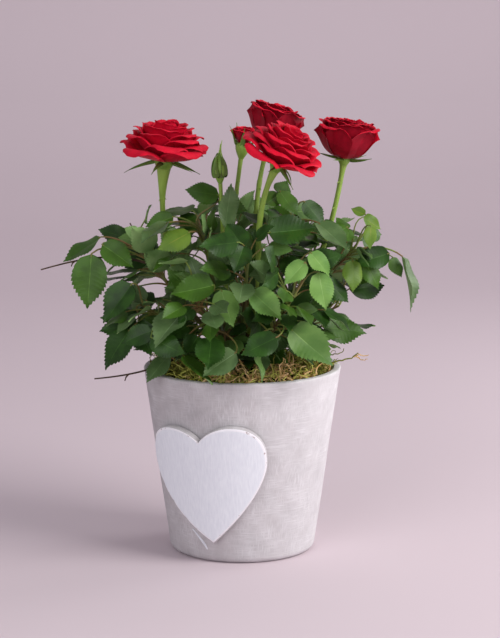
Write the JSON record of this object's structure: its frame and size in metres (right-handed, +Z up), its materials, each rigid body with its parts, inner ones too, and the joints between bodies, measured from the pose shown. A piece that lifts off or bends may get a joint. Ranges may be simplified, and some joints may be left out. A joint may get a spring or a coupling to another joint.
{
  "type": "potted rose bush",
  "caption": "Bushy red patio rose in a tapered cement pot with a raised heart on its side and moss over the soil.",
  "frame": {"origin": "middle of the pot's flat underside", "axes": "+Z up along the pot's axis, -Y towards the front of the picture, +X to its right"},
  "size_m": [0.2708, 0.2126, 0.3372],
  "materials": {
    "pot_cement": "matte grey-pink cement with a dry-brushed white wash",
    "heart_wash": "matte white wash, worn at the edges",
    "soil": "damp crumbly potting soil",
    "moss": "curly olive and tan moss",
    "stock_bark": "rough brown-green bark",
    "cane_skin": "smooth green skin with a few thorns",
    "foliage": "semi-gloss green leaves, paler underneath",
    "petal": "velvety deep red petals",
    "bud_green": "green sepals closed round the bud"
  },
  "bodies": {
    "root": {"pot": "pot_cement", "heart_plaque": "heart_wash", "potting_soil": "soil", "moss_cover": "moss", "base_stem": "stock_bark", "cane_left_bloom": "cane_skin", "cane_front_bloom": "cane_skin", "cane_back_bloom": "cane_skin", "cane_right_bloom": "cane_skin", "cane_closed_bud": "cane_skin", "cane_opening_bud": "cane_skin", "bough_left_upper": "cane_skin", "foliage_left_upper": "foliage", "bough_left_lower": "cane_skin", "foliage_left_lower": "foliage", "bough_front_left": "cane_skin", "foliage_front_left": "foliage", "bough_front_right": "cane_skin", "foliage_front_right": "foliage", "bough_front_top": "cane_skin", "foliage_front_top": "foliage", "bough_right_lower": "cane_skin", "foliage_right_lower": "foliage", "bough_right_upper": "cane_skin", "foliage_right_upper": "foliage", "bough_top_left": "cane_skin", "foliage_top_left": "foliage", "bough_top_right": "cane_skin", "foliage_top_right": "foliage", "bough_back_left": "cane_skin", "foliage_back_left": "foliage", "bough_back_right": "cane_skin", "foliage_back_right": "foliage", "bough_back_low": "cane_skin", "foliage_back_low": "foliage", "bough_back_top": "cane_skin", "foliage_back_top": "foliage", "left_bloom": "petal", "front_bloom": "petal", "back_bloom": "petal", "right_bloom": "petal", "closed_bud": "bud_green", "opening_bud": "petal"}
  },
  "joints": []
}
